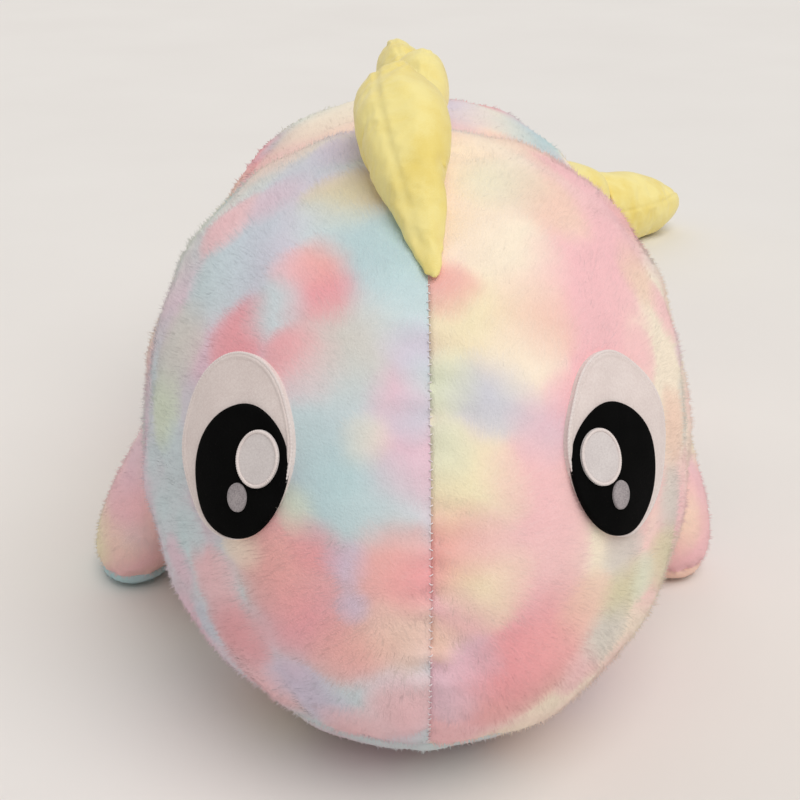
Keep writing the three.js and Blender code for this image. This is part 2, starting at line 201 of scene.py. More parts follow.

# Dye blots of the head, some in the dyes that paint shade: colour, degrees to the side and up from
# its middle, radius in mm
HEAD_CENTRE = Vector((0, -0.2, 0.19))
HEAD_DYE_END = (-0.26, -0.12)
BLOT_REACH = 2.3
BETWEEN_BLOTS = 0.18
# Of these, the darker lemon and greyed ivory blots paint shade
RIGHT_BLOTS = [
    ("lavender", -79, 74, 14), ("sky", -70, 65, 19), ("straw", -32, 64, 16), ("lilac", -67, 59, 15),
    ("pink", -77, 49, 14), ("pale_aqua", -34, 57, 14), ("aqua", -18, 55, 17), ("aqua", -8, 50, 20),
    ("pale_aqua", -5, 42, 20), ("coral", -29, 49, 12), ("rose", -25, 43, 15),
    ("pink", -35, 46, 10), ("sky", -52, 47, 23), ("pale_aqua", -59, 39, 19),
    ("pale_aqua", -35, 39, 13), ("rose", -41, 33, 15), ("pink", -24, 30, 14), ("rose", -27, 32, 10),
    ("ivory", -16, 34, 21), ("lavender", -4, 34, 12), ("pale_aqua", -1, 30, 10),
    ("lilac", -6, 26, 12), ("pale_aqua", -17, 24, 20), ("aqua", -17, 17, 18), ("aqua", -15, 11, 20),
    ("sky", -3, 22, 10), ("cream", -11, 19, 10), ("lilac", -4, 16, 16), ("pale_aqua", -9, 10, 16),
    ("mint", -21, 8, 9), ("cream", -30, 0, 9), ("coral", -24, -1, 19), ("rose", -18, 3, 11),
    ("rose", -20, -7, 19), ("lavender", -13, 1, 9), ("lavender", -12, -5, 7), ("coral", -6, 0, 18),
    ("rose", -2, -2, 12), ("pink", -37, -8, 13), ("rose", -32, -16, 16), ("sky", -42, -20, 10),
    ("pink", -29, -27, 18), ("coral", -12, -12, 16), ("peach", -5, -10, 17), ("pink", -4, -23, 15),
    ("lavender", -20, -23, 16), ("pink", -13, -28, 13), ("ivory", -61, 25, 18),
    ("mint", -59, 14, 14), ("pale_aqua", -50, 7, 15), ("pale_aqua", -43, -2, 11),
    ("lilac", -48, -11, 10),
]
# Of these, the darker lemon and greyed ivory blots paint shade
LEFT_BLOTS = [
    ("cream", 39, 76, 23), ("cream", 16, 59, 26), ("mint", 40, 67, 19), ("pink", 98, 59, 16),
    ("peach", 49, 61, 20), ("pink", 73, 50, 20), ("cream", 25, 48, 19), ("rose", 5, 45, 12),
    ("lemon", 9, 39, 21), ("peach", 23, 39, 18), ("pink", 39, 42, 22), ("peach", 67, 40, 15),
    ("pink", 38, 34, 15), ("cream", 18, 32, 16), ("mint", 3, 28, 13), ("sky", 11, 26, 15),
    ("lilac", 20, 21, 14), ("mint", 3, 17, 11), ("lemon", 6, 12, 19), ("pink", 17, 12, 18),
    ("pink", 19, 6, 15), ("coral", 3, 3, 16), ("pink", 8, 4, 11), ("lemon", 8, -2, 16),
    ("pink", 16, -2, 20), ("pink", 5, -7, 11), ("rose", 18, -12, 22), ("lilac", 7, -14, 11),
    ("rose", 12, -19, 21), ("lilac", 3, -20, 15), ("peach", 2, -11, 10), ("peach", 25, -9, 13),
    ("straw", 33, -10, 12), ("mint", 38, -10, 9), ("ivory", 33, -3, 11), ("ivory", 30, -16, 13),
    ("pink", 25, -21, 12), ("pink", 2, -31, 12), ("pink", 72, 30, 13), ("lilac", 73, 21, 10),
    ("peach", 55, 11, 14), ("ivory", 50, 0, 14), ("pink", 49, 27, 10), ("pink", 24, 25, 9),
    ("straw", 46, -9, 13), ("ivory", 66, 10, 12),
]

# Dye blots of the back: colour, place across and along in mm, radius in mm
RIGHT_BACK = [
    ("peach", -80, 85, 45), ("pink", -125, 60, 40), ("cream", -60, 150, 35), ("lilac", -100, 0, 30),
]
LEFT_BACK = [
    ("lavender", 40, 150, 25), ("cream", 75, 150, 25), ("aqua", 108, 145, 25), ("pink", 140, 60, 40),
]


def placed(name, data):
    thing = bpy.data.objects.new(name, data)
    scene.collection.objects.link(thing)
    return thing


# Camera at the photograph's angle
def add_camera():
    data = bpy.data.cameras.new("camera")
    data.lens = 72
    camera = placed("camera", data)
    camera.location = (-0.0325, -1.2997, 0.660)
    camera.rotation_euler = (math.radians(67.5), 0, math.radians(-0.9))
    scene.camera = camera


add_camera()


# Mesh helpers
def points_of(mesh):
    points = np.empty(len(mesh.vertices) * 3)
    mesh.vertices.foreach_get("co", points)
    return points.reshape(-1, 3)


def normals_of(mesh):
    normals = np.empty(len(mesh.vertices) * 3)
    mesh.vertex_normals.foreach_get("vector", normals)
    return normals.reshape(-1, 3)


def move_to(piece, points):
    piece.data.vertices.foreach_set("co", np.ascontiguousarray(points).ravel())
    piece.data.update()


def made(name, points, faces):
    mesh = bpy.data.meshes.new(name)
    mesh.from_pydata([tuple(point) for point in points], [], faces)
    mesh.update()
    return placed(name, mesh)


def unit(vectors):
    return vectors / np.maximum(np.linalg.norm(vectors, axis=-1, keepdims=True), 1e-12)


def copy_of(name, nodes, extra=()):
    points, faces, start = [], [], 0
    sources = [frame["nodes"][node].data for node in nodes]
    sources += [piece.data for piece in extra]
    for mesh in sources:
        faces += [[v + start for v in face.vertices] for face in mesh.polygons]
        points.append(points_of(mesh))
        start += len(points[-1])
    for piece in extra:
        bpy.data.objects.remove(piece)
    return made(name, np.concatenate(points), faces)


def applied(piece):
    depsgraph = bpy.context.evaluated_depsgraph_get()
    mesh = bpy.data.meshes.new_from_object(piece.evaluated_get(depsgraph))
    piece.modifiers.clear()
    piece.data = mesh
    return piece


def remeshed(piece, size):
    change = piece.modifiers.new("remesh", "REMESH")
    change.mode = "VOXEL"
    change.voxel_size = size
    return applied(piece)


def subdivided(piece):
    piece.modifiers.new("subdivide", "SUBSURF").levels = 1
    return applied(piece)


class Neighbours:
    """Means over the points that share an edge."""

    def __init__(self, mesh):
        self.edges = np.empty(len(mesh.edges) * 2, int)
        mesh.edges.foreach_get("vertices", self.edges)
        self.edges = self.edges.reshape(-1, 2)
        self.counts = np.bincount(self.edges.ravel(), minlength=len(mesh.vertices))

    def drawn(self, values, rounds, share=0.5):
        first, second = self.edges.T
        for _ in range(rounds):
            total = np.zeros_like(values)
            np.add.at(total, first, values[second])
            np.add.at(total, second, values[first])
            values = values + share * (total / np.maximum(self.counts, 1)[:, None] - values)
        return values


def smoothed(piece, rounds, drop):
    """Evens a surface without drawing it in, then sets it inwards by drop."""
    neighbours = Neighbours(piece.data)
    before = points_of(piece.data)
    after = neighbours.drawn(before, rounds)
    move_to(piece, after)
    normals = normals_of(piece.data)
    loss = ((before - after) * normals).sum(axis=1, keepdims=True)
    loss = neighbours.drawn(loss, 2 * rounds)
    move_to(piece, after + (loss - drop) * normals)


def inflated(piece, pinned, pressure, cap, slack, frames=20):
    """Lets the filling press on a cover whose seams are held, and keeps the result."""
    before = points_of(piece.data)
    group = piece.vertex_groups.new(name="held")
    group.add(np.nonzero(pinned)[0].tolist(), 1.0, "REPLACE")
    cloth = piece.modifiers.new("cover", "CLOTH")
    settings = cloth.settings
    settings.quality = 5
    settings.mass = 0.3
    settings.tension_stiffness = 15
    settings.compression_stiffness = 15
    settings.shear_stiffness = 5
    settings.bending_stiffness = 0.5
    settings.use_pressure = True
    settings.uniform_pressure_force = pressure
    settings.vertex_group_mass = group.name
    settings.shrink_min = -slack
    settings.effector_weights.gravity = 0
    cloth.collision_settings.use_collision = False
    cloth.point_cache.frame_end = frames
    for step in range(1, frames + 1):
        scene.frame_set(step)
    applied(piece)
    scene.frame_set(1)
    piece.vertex_groups.clear()
    moved = points_of(piece.data) - before
    length = np.linalg.norm(moved, axis=1, keepdims=True)
    move_to(piece, before + moved * np.minimum(1, cap / np.maximum(length, 1e-9)))


def waves(points, length, seed, count=14):
    """Smooth noise of about unit size whose bumps are about length apart."""
    draw = np.random.default_rng(seed)
    turns = unit(draw.normal(size=(count, 3))) * (2 * math.pi / length)
    turns *= draw.uniform(0.7, 1.4, size=(count, 1))
    shifts = draw.uniform(0, 2 * math.pi, size=count)
    return np.sin(points @ turns.T + shifts).sum(axis=1) / math.sqrt(count / 2)


def near(distance, width):
    return np.exp(-((distance / width) ** 2))


def past(value, edge, width):
    """A smooth step from 0 before the edge to 1 past it."""
    return 1 / (1 + np.exp(-(value - edge) / width))


def bumps(points, height, length, seed):
    return height * waves(points, length, seed)


def fold(points, away, depth, width, pucker, length, reach, seed):
    """How far a seam draws the cover in: a groove, and puckers along it."""
    puckers = bumps(points, pucker, length, seed)
    return depth * near(away, width) + puckers * near(away, reach)


def circle(count):
    return np.linspace(0, 2 * math.pi, count, endpoint=False)


def tube_faces(first, rings, around):
    """Quads between rings of points that follow each other in a list."""
    faces = []
    for here in range(first, first + (rings - 1) * around, around):
        there = here + around
        for index in range(around):
            after = (index + 1) % around
            faces.append((here + index, here + after, there + after, there + index))
    return faces


def tree_of(mesh):
    return BVHTree.FromPolygons(
        [vertex.co.copy() for vertex in mesh.vertices],
        [tuple(face.vertices) for face in mesh.polygons],
    )


def from_bmesh(name, work):
    mesh = bpy.data.meshes.new(name)
    work.to_mesh(mesh)
    work.free()
    return placed(name, mesh)


def kept(piece, name, *planes):
    """A copy of the part of a piece on the inner side of each plane (point, inward normal)."""
    work = bmesh.new()
    work.from_mesh(piece.data)
    for point, inward in planes:
        bmesh.ops.bisect_plane(
            work,
            geom=work.verts[:] + work.edges[:] + work.faces[:],
            dist=1e-6,
            plane_co=point,
            plane_no=inward,
            clear_inner=True,
        )
    return from_bmesh(name, work)


def thickened(piece):
    change = piece.modifiers.new("cover", "SOLIDIFY")
    change.thickness = COVER
    change.offset = -1
    return applied(piece)


def joint_of(child):
    return next(joint for joint in frame["joints"] if joint["child"] == child)


def remember_rest(piece, places=None):
    """Keeps each point's place on the unmoved toy, so that the dye doesn't slide."""
    mesh = piece.data
    places = points_of(mesh) if places is None else places
    attribute = mesh.attributes.new("rest", "FLOAT_VECTOR", "POINT")
    attribute.data.foreach_set("vector", np.ascontiguousarray(places, np.float32).ravel())


def dress(piece, material, smooth=True):
    piece.data.materials.clear()
    piece.data.materials.append(material)
    piece.data.polygons.foreach_set("use_smooth", [smooth] * len(piece.data.polygons))
    return piece


# Materials
def linear(colour):
    shares = np.array(colour) / 255
    values = np.where(shares <= 0.04045, shares / 12.92, ((shares + 0.055) / 1.055) ** 2.4)
    return (*values, 1.0)


class Nodes:
    """A material's node tree, with short calls for the nodes that are used here."""

    def __init__(self, name):
        self.material = bpy.data.materials.new(name)
        self.material.use_nodes = True
        self.tree = self.material.node_tree
        self.shader = self.tree.nodes["Principled BSDF"]

    def feed(self, socket, value):
        if isinstance(value, bpy.types.NodeSocket):
            self.tree.links.new(value, socket)
        else:
            socket.default_value = value

    def add(self, kind, inputs=(), **settings):
        node = self.tree.nodes.new("ShaderNode" + kind)
        for name, value in settings.items():
            setattr(node, name, value)
        for socket, value in dict(inputs).items():
            self.feed(node.inputs[socket], value)
        return node

    def math(self, operation, first, second):
        return self.add("Math", {0: first, 1: second}, operation=operation).outputs[0]

    def vector(self, operation, first, second):
        socket = "Scale" if operation == "SCALE" else 1
        return self.add("VectorMath", {0: first, socket: second}, operation=operation).outputs[0]

    def mix(self, share, first, second, blend="MIX"):
        inputs = {0: share, 6: first, 7: second}
        return self.add("Mix", inputs, data_type="RGBA", blend_type=blend).outputs[2]

    def attribute(self, name, output="Fac"):
        return self.add("Attribute", attribute_name=name).outputs[output]

    def noise(self, place, scale, detail=2.0, roughness=0.5, output="Fac"):
        inputs = {"Vector": place, "Scale": scale, "Detail": detail, "Roughness": roughness}
        return self.add("TexNoise", inputs).outputs[output]

    def ranged(self, value, low, high, to_low=0.0, to_high=1.0):
        inputs = {"Value": value, "From Min": low, "From Max": high}
        inputs.update({"To Min": to_low, "To Max": to_high})
        return self.add("MapRange", inputs, interpolation_type="SMOOTHSTEP").outputs[0]

    def bump(self, height, distance, strength):
        inputs = {"Height": height, "Distance": distance, "Strength": strength}
        self.set(Normal=self.add("Bump", inputs).outputs[0])

    def set(self, **sockets):
        for name, value in sockets.items():
            self.feed(self.shader.inputs[name.replace("_", " ")], value)
        return self.material


def warped(nodes, place, scale, reach):
    noise = nodes.noise(place, scale, output="Color")
    push = nodes.vector("SCALE", nodes.vector("SUBTRACT", noise, (0.5, 0.5, 0.5)), reach)
    return nodes.vector("ADD", place, push)


def cloudy(nodes, place, shift, dyes):
    """Dyes that lie over each other in soft patches, each with a shape of its own."""
    colour = linear(DYES[dyes[0]])
    for number, dye in enumerate(dyes[1:]):
        push = (shift + 1.7 * number, 2.3 * number, shift - 3.1 * number)
        moved = nodes.vector("ADD", place, push)
        patch = nodes.noise(moved, scale=7.5, detail=1.5, roughness=0.45)
        share = nodes.ranged(patch, 0.47, 0.64, to_high=0.92)
        colour = nodes.mix(share, colour, linear(DYES[dye]))
    return colour


def head_hit(turn, rise):
    """Where the cover lies in a direction from the middle of the head, and its outward normal."""
    turn, rise = math.radians(turn), math.radians(rise)
    level = math.cos(rise)
    way = Vector((math.sin(turn) * level, -math.cos(turn) * level, math.sin(rise)))
    return cover_tree.ray_cast(HEAD_CENTRE + way, -way)[:2]


def with_blots(nodes, place, colour, head_blots, back_blots):
    """Lets the named blots run into each other and into the colour between them."""
    blots = [(dye, head_hit(turn, rise)[0], radius) for dye, turn, rise, radius in head_blots]
    blots += [(dye, top_hit(x / 1000, y / 1000)[0], radius) for dye, x, y, radius in back_blots]
    total, weight = nodes.vector("SCALE", colour, BETWEEN_BLOTS), BETWEEN_BLOTS
    for dye, centre, radius in blots:
        apart = nodes.add("VectorMath", {0: place, 1: centre}, operation="DISTANCE")
        away = apart.outputs["Value"]
        share = nodes.ranged(away, BLOT_REACH * radius / 1000, 0.0)
        parts = {0: share, 1: linear(DYES[dye])[:3], 2: total}
        total = nodes.add("VectorMath", parts, operation="MULTIPLY_ADD").outputs[0]
        weight = nodes.math("ADD", share, weight)
    return nodes.vector("DIVIDE", total, weight)


def panel_dye(nodes, place, head_tones, shift, dyes, *blots):
    """Soft tones on the head, running clouds on the rest of the body, and the named blots."""
    moved = nodes.vector("ADD", place, (shift, 0.4, 1.7))
    share = nodes.ranged(nodes.noise(moved, scale=9), 0.35, 0.65)
    tone = nodes.mix(share, *(linear(DYES[dye]) for dye in head_tones))
    along = nodes.add("SeparateXYZ", {0: place}).outputs["Y"]
    behind = nodes.ranged(along, *HEAD_DYE_END)
    tone = nodes.mix(behind, tone, cloudy(nodes, place, shift, dyes))
    return with_blots(nodes, place, tone, *blots)


def right_dye(nodes, place):
    dyes = ["cream", "rose", "pale_aqua", "lavender", "peach", "aqua", "pink", "lemon"]
    return panel_dye(nodes, place, ("pale_aqua", "lilac"), 3.1, dyes, RIGHT_BLOTS, RIGHT_BACK)


def left_dye(nodes, place):
    dyes = ["cream", "pink", "lemon", "aqua", "lilac", "peach", "rose", "pale_aqua"]
    return panel_dye(nodes, place, ("cream", "pink"), 0.2, dyes, LEFT_BLOTS, LEFT_BACK)


def belly_dye(nodes, place):
    return cloudy(nodes, place, 2.4, ["cream", "pink", "pale_aqua", "lilac", "peach"])


def tail_dye(nodes, place):
    dyes = ["cream", "rose", "lemon", "aqua", "lilac", "pink", "pale_aqua"]
    return cloudy(nodes, place, 0.9, dyes)


def leg_dye(nodes, place):
    return cloudy(nodes, place, 1.3, ["pink", "cream", "pink", "lemon", "peach", "lilac"])


def sole_dye(nodes, place):
    right = cloudy(nodes, place, 0.6, ["aqua", "pale_aqua", "sky"])
    left = cloudy(nodes, place, 0.6, ["pink", "lilac", "peach"])
    across = nodes.add("SeparateXYZ", {0: place}).outputs["X"]
    return nodes.mix(nodes.math("GREATER_THAN", across, 0.0), right, left)


def plush_material(name, dye, strands):
    """Dyed plush: its backing, or its strands, whose undersides let light through and whose tips
    carry a painted highlight.
    """
    nodes = Nodes(name)
    rest = nodes.attribute("rest", "Vector")
    place = warped(nodes, warped(nodes, rest, 13, 0.022), 48, 0.009)
    colour = dye(nodes, place)
    fibre = nodes.noise(rest, scale=620, roughness=0.6)
    clump = nodes.noise(rest, scale=95, detail=3.0, roughness=0.6)
    shade = nodes.math("MULTIPLY", nodes.math("ADD", fibre, clump), 0.10)
    colour = nodes.mix(1.0, colour, nodes.math("ADD", shade, 0.90), "MULTIPLY")
    if strands:
        along = nodes.attribute("along")
        # Tips painted up to 15% towards white: a painted highlight, as where light catches the pile
        colour = nodes.mix(nodes.math("MULTIPLY", along, 0.15), colour, (1, 1, 1, 1))
        under = nodes.attribute("under")
        nodes.set(Subsurface_Weight=nodes.math("MINIMUM", under, 1.0))
        nodes.set(Subsurface_Radius=(1, 1, 1), Subsurface_Scale=0.001)
    else:
        nodes.bump(nodes.math("ADD", fibre, clump), distance=0.0014, strength=0.4)
        nodes.set(Sheen_Weight=0.2, Sheen_Roughness=0.5)
    return nodes.set(Base_Color=colour, Roughness=0.95, Specular_IOR_Level=0.0)


def satin_material(name, light, deep):
    nodes = Nodes(name)
    place = nodes.add("TexCoord").outputs["Object"]
    cloud = nodes.noise(place, scale=28, detail=3.0, roughness=0.55)
    drawn_out = nodes.vector("MULTIPLY", place, (1.0, 2.6, 1.0))
    nap = nodes.noise(drawn_out, scale=900, roughness=0.6)
    share = nodes.ranged(nodes.math("ADD", cloud, nodes.math("MULTIPLY", nap, 0.3)), 0.45, 0.95)
    colour = nodes.mix(share, linear(light), linear(deep))
    nodes.bump(nap, distance=0.0006, strength=0.35)
    nodes.set(Base_Color=colour, Roughness=nodes.ranged(nap, 0.2, 0.8, 0.52, 0.72))
    return nodes.set(Sheen_Weight=0.3, Sheen_Roughness=0.4, Specular_IOR_Level=0.35)


def felt_material(name, colour, tint, scale=700, sheen=0.15, gloss=0.2):
    nodes = Nodes(name)
    place = nodes.add("TexCoord").outputs["Object"]
    fibre = nodes.noise(place, scale, detail=4.0, roughness=0.65)
    cloud = nodes.noise(place, scale=60, detail=3.0)
    share = nodes.ranged(nodes.math("ADD", fibre, nodes.math("MULTIPLY", cloud, 0.5)), 0.5, 1.0)
    nodes.bump(fibre, distance=0.0007, strength=0.4)
    nodes.set(Base_Color=nodes.mix(share, linear(colour), linear(tint)))
    nodes.set(Roughness=nodes.ranged(fibre, 0.3, 0.7, 0.75, 0.95))
    return nodes.set(Sheen_Weight=sheen, Sheen_Roughness=0.5, Specular_IOR_Level=gloss)


fin_material = satin_material("fin_cloth", (247, 233, 156), (238, 216, 120))
white_material = felt_material("eye_white_felt", (232, 220, 216), (220, 206, 202))
black_material = felt_material(
    "eye_black_stitching", (6, 6, 6), (12, 12, 12), sheen=0.0, gloss=0.04
)
shine_material = felt_material("eye_shine_stitching", (222, 215, 214), (206, 198, 197), 900)
border_material = felt_material("eye_border_stitching", (236, 226, 223), (222, 210, 207), 900)
grey_material = felt_material("eye_grey_stitching", (176, 168, 170), (128, 122, 125), 1100)
thread_material = felt_material("seam_thread", (246, 240, 240), (222, 212, 218), 1200)


# Body and tail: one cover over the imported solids, then cut along its seams
BODY_NODES = ["left_body_panel", "right_body_panel", "belly_panel", "body_stuffing"]
TAIL_NODES = ["tail_upper_panel", "tail_lower_panel", "tail_stuffing"]

tip_hinge = Vector(joint_of("tail_tip")["pos_m"])
tip_low, tip_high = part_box("tail_tip_upper_panel")
tail_way = (0.5 * (tip_low + tip_high) - tip_hinge) * Vector((1, 1, 0))
tail_way.normalize()
cuff_start = tip_hinge - CUFF_LENGTH * tail_way


def body_cover():
    cover = remeshed(copy_of("cover", BODY_NODES + TAIL_NODES), BODY_VOXEL)
    smoothed(cover, 16, SKIN_DROP)
    points = points_of(cover.data)
    x, y, z = points.T
    away = np.linalg.norm((points - tip_hinge) * (1, 1, 0), axis=1)
    end = near(np.maximum(away - TAIL_END_RADIUS, 0), TAIL_END_FADE)
    points += TAIL_END * end[:, None] * normals_of(cover.data)
    points[:, 2] *= 1 - TAIL_END_LOWER * end
    side = np.clip(x / HEAD_HALF_WIDTH, 0, 1) ** 1.5
    points[:, 0] -= SIDE_DROP * side * past(HEAD_END, y, SIDE_FADE)
    move_to(cover, points)
    centre = (np.abs(x) < 0.5 * BODY_VOXEL) & (z > BELLY_SEAM) & (y < TAIL_SEAM_AT)
    belly = np.abs(z - BELLY_SEAM) < 0.5 * BODY_VOXEL
    ring = np.abs(y - TAIL_SEAM_AT) < 0.5 * BODY_VOXEL
    held = centre | belly | ring | (z < BODY_REST)
    inflated(cover, held, pressure=4.0, cap=0.004, slack=0.02)
    subdivided(cover)
    points, normals = points_of(cover.data), normals_of(cover.data)
    x, y, z = points.T
    upper = past(z, BELLY_SEAM + 0.010, 0.004) * (y < TAIL_SEAM_AT)
    depth = fold(points * (0, 1, 1), x, *CENTRE_FOLD) * upper
    depth += fold(points * (1, 1, 0), z - BELLY_SEAM, *BELLY_FOLD)
    depth += fold(points * (1, 0, 1), y - TAIL_SEAM_AT, *TAIL_FOLD)
    depth += fold(points, (points - cuff_start) @ tail_way, *CUFF_FOLD)
    depth -= bumps(points, *BODY_BUMPS)
    points = points - depth[:, None] * normals
    points[:, 2] = np.maximum(points[:, 2], COVER_GAP)
    move_to(cover, points)
    return cover


cover = body_cover()
cover_tree = tree_of(cover.data)


def top_hit(x, y):
    return cover_tree.ray_cast(Vector((x, y, 1)), Vector((0, 0, -1)))[:2]


def ridge_height(y):
    return top_hit(0, y)[0].z


plush = {}
for dye in (right_dye, left_dye, belly_dye, tail_dye, leg_dye, sole_dye):
    part = dye.__name__.removesuffix("_dye")
    plush[part] = plush_material(f"{part}_plush_backing", dye, False)
    plush[part + "_pile"] = plush_material(f"{part}_plush_pile", dye, True)


# Eyes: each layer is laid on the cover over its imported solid's own oval
class Oval:
    """The place, directions and half sizes of a packed eye layer."""

    def __init__(self, node):
        points = points_of(frame["nodes"][node].data)
        self.centre = (points.min(axis=0) + points.max(axis=0)) / 2
        longest, _, out = np.linalg.svd(points - points.mean(axis=0))[2]
        out = out * np.sign(out @ (self.centre - HEAD_CENTRE))
        upright = abs(longest[2]) >= 0.5
        up = longest * np.sign(longest[2]) if upright else np.array((0, 0, 1.0))
        self.out = out
        self.up = unit(up - (up @ out) * out)
        self.side = np.cross(self.up, out)
        flat = (points - self.centre) @ np.array([self.side, self.up]).T
        self.half = (flat.max(axis=0) - flat.min(axis=0)) / 2
        shift = (flat.max(axis=0) + flat.min(axis=0)) / 2
        self.centre = self.centre + shift[0] * self.side + shift[1] * self.up

    def radius(self, points):
        """Distance as a share of the radius; endless on the head's other side."""
        flat = (points - self.centre) @ np.array([self.side, self.up]).T / self.half
        ahead = (points - self.centre) @ self.out > -0.06
        return np.where(ahead, np.linalg.norm(flat, axis=1), np.inf)

    def laid(self, angles, share):
        """The cover's points under an oval line, and outward directions that turn less than it."""
        places, outs = [], []
        flat = share * np.column_stack([np.cos(angles), np.sin(angles)]) * self.half
        for across, upward in flat:
            start = Vector(self.centre + across * self.side + upward * self.up + 0.1 * self.out)
            hit = cover_tree.ray_cast(start, Vector(-self.out))
            places.append(hit[0])
            outs.append(hit[1])
        return np.array(places), unit(np.array(outs) + 3 * self.out)


def eye_layer(name, node, profile, material, drop=0.0, around=96):
    """A thin cushion of cloth; profile gives (share of the radius, height) from rim to middle."""
    oval = Oval(node)
    oval.centre = oval.centre - drop * oval.up
    points = []
    for share, height in profile:
        places, outs = oval.laid(circle(around), share)
        points.append(places + height * outs)
    faces = tube_faces(0, len(profile), around)
    last = (len(profile) - 1) * around
    faces.append(tuple(range(last, last + around)))
    faces.append(tuple(range(around - 1, -1, -1)))
    piece = dress(made(name, np.concatenate(points), faces), material)
    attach(piece, "trunk")
    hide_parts(node)
    return piece


def rounded_profile(low, high, edge, rim=0.0, rings=12):
    """Rim to middle: a rounded edge, an optional raised border and a level middle."""
    rise = high - low
    profile = [(1.0, low), (1.0, low + 0.4 * rise)]
    for step in (0.35, 0.65, 1.0):
        profile.append((1 - edge * step * 0.5, low + rise * (0.4 + 0.6 * step)))
    if rim:
        profile += [(1 - edge, high + rim), (1 - 1.6 * edge, high + rim), (1 - 2.2 * edge, high)]
    start = 1 - 2.4 * edge
    profile += [(start * (1 - step / rings), high) for step in range(rings)]
    return profile


def eye_border(name, node, share, lift, radius, ridges, material):
    """A raised border of satin stitches: a ring with a ridge for each turn of thread."""
    around, sides = 4 * ridges, 8
    angles = circle(around)
    places, outs = Oval(node).laid(angles, share)
    ahead = unit(np.roll(places, -1, axis=0) - np.roll(places, 1, axis=0))
    sideways = np.cross(ahead, outs)
    swell = radius * (1 + 0.13 * np.cos(ridges * angles))[:, None]
    rings = []
    for turn in circle(sides):
        rise = lift + 0.75 * swell * math.sin(turn)
        rings.append(places + swell * math.cos(turn) * sideways + rise * outs)
    points = np.stack(rings, axis=1).reshape(-1, 3)
    faces = []
    for index in range(around):
        after = (index + 1) % around
        for side in range(sides):
            beside = (side + 1) % sides
            corners = ((index, side), (after, side), (after, beside), (index, beside))
            faces.append(tuple(sides * step + place for step, place in corners))
    piece = dress(made(name, points, faces), material)
    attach(piece, "trunk")
    return piece


slots = {"patch": "eye_white", "pupil": "eye_black", "shine": "eye_shine", "glint": "eye_grey"}
cloths = dict(zip(slots, (white_material, black_material, shine_material, grey_material)))
eye_ovals = []
for eye in ("left_eye", "right_eye"):
    for part, sizes in EYE_LAYERS.items():
        node = f"{eye}_{part}"
        drop = PUPIL_DROP if part == "pupil" else 0.0
        layer = eye_layer(f"{node}_cloth", node, rounded_profile(*sizes), cloths[part], drop)
    for part, sizes in EYE_BORDERS.items():
        node = f"{eye}_{part}"
        border = eye_border(f"{node}_border", node, *sizes, border_material)
    eye_ovals.append(Oval(f"{eye}_patch"))


# Sewn panels of the cover: dye, slot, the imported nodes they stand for, and their cutting planes
LEFT, RIGHT = (((0, 0, 0), (way, 0, 0)) for way in (1, -1))
ABOVE, BELOW = (((0, 0, BELLY_SEAM), (0, 0, way)) for way in (1, -1))
BODY, TAIL = (((0, TAIL_SEAM_AT, 0), (0, way, 0)) for way in (-1, 1))
BEFORE_CUFF = (cuff_start, -tail_way)
panels = {
    "left_body_cover":
        ("left", "tie_dye_left", ["left_body_panel", "body_stuffing"], [LEFT, ABOVE, BODY]),
    "right_body_cover":
        ("right", "tie_dye_right", ["right_body_panel"], [RIGHT, ABOVE, BODY]),
    "belly_cover":
        ("belly", "belly_plush", ["belly_panel"], [BELOW, BODY]),
    "tail_upper_cover":
        ("tail", "tail_plush", ["tail_upper_panel", "tail_stuffing"], [ABOVE, TAIL, BEFORE_CUFF]),
    "tail_lower_cover":
        ("belly", "belly_plush", ["tail_lower_panel"], [BELOW, TAIL, BEFORE_CUFF]),
}


# Plush pile: fine closed spikes that lie back along the fur's direction
SPIKE = np.array([0, 2, 1, 0, 1, 3, 1, 2, 3, 2, 0, 3])


def surface_of(piece):
    """Corner points, corner normals and areas of a piece's triangles."""
    mesh = piece.data
    mesh.calc_loop_triangles()
    corners = np.empty(len(mesh.loop_triangles) * 3, int)
    mesh.loop_triangles.foreach_get("vertices", corners)
    corners = corners.reshape(-1, 3)
    points, normals = points_of(mesh)[corners], normals_of(mesh)[corners]
    first, second = points[:, 1] - points[:, 0], points[:, 2] - points[:, 0]
    areas = np.linalg.norm(np.cross(first, second), axis=1) / 2
    return points, normals, areas


def combed(points, normals):
    """The way the pile lies: from the nose to the tail, a little down, in slow swirls."""
    lie = COMB_SPREAD * (points - HEAD_CENTRE)
    lie[:, 1] = 1.0
    lie[:, 2] -= COMB_FALL
    for axis in range(3):
        lie[:, axis] += sum(
            bumps(points, height, length, seed + axis) for height, length, seed in COMB_SWIRLS
        )
    part = near(points[:, 0], PARTING_WIDTH) * (points[:, 1] < TAIL_SEAM_AT)
    lie[:, 0] += COMB_PARTING * part * np.sign(points[:, 0])
    lie -= (lie * normals).sum(axis=1, keepdims=True) * normals
    return unit(lie)


def add_strand_map(mesh, roots, patch=0.004):
    """A texture map in which each strand has a small patch, placed by where its root is."""
    low, high = roots.min(axis=0), roots.max(axis=0)
    middle = 0.5 * (low + high)
    around = np.arctan2(roots[:, 2] - middle[2], roots[:, 0] - middle[0])
    turn = (around - around.min()) / max(np.ptp(around), 1e-6)
    back = (roots[:, 1] - low[1]) / max(high[1] - low[1], 1e-6)
    spots = 0.02 + 0.95 * np.column_stack([turn, back])
    corners = patch * np.array([(0, 0), (1, 0), (0, 1), (1, 1)])
    places = spots[:, None, :] + corners[SPIKE][None, :, :]
    layer = mesh.uv_layers.new(name="OFBake")
    layer.data.foreach_set("uv", places.astype(np.float32).ravel())


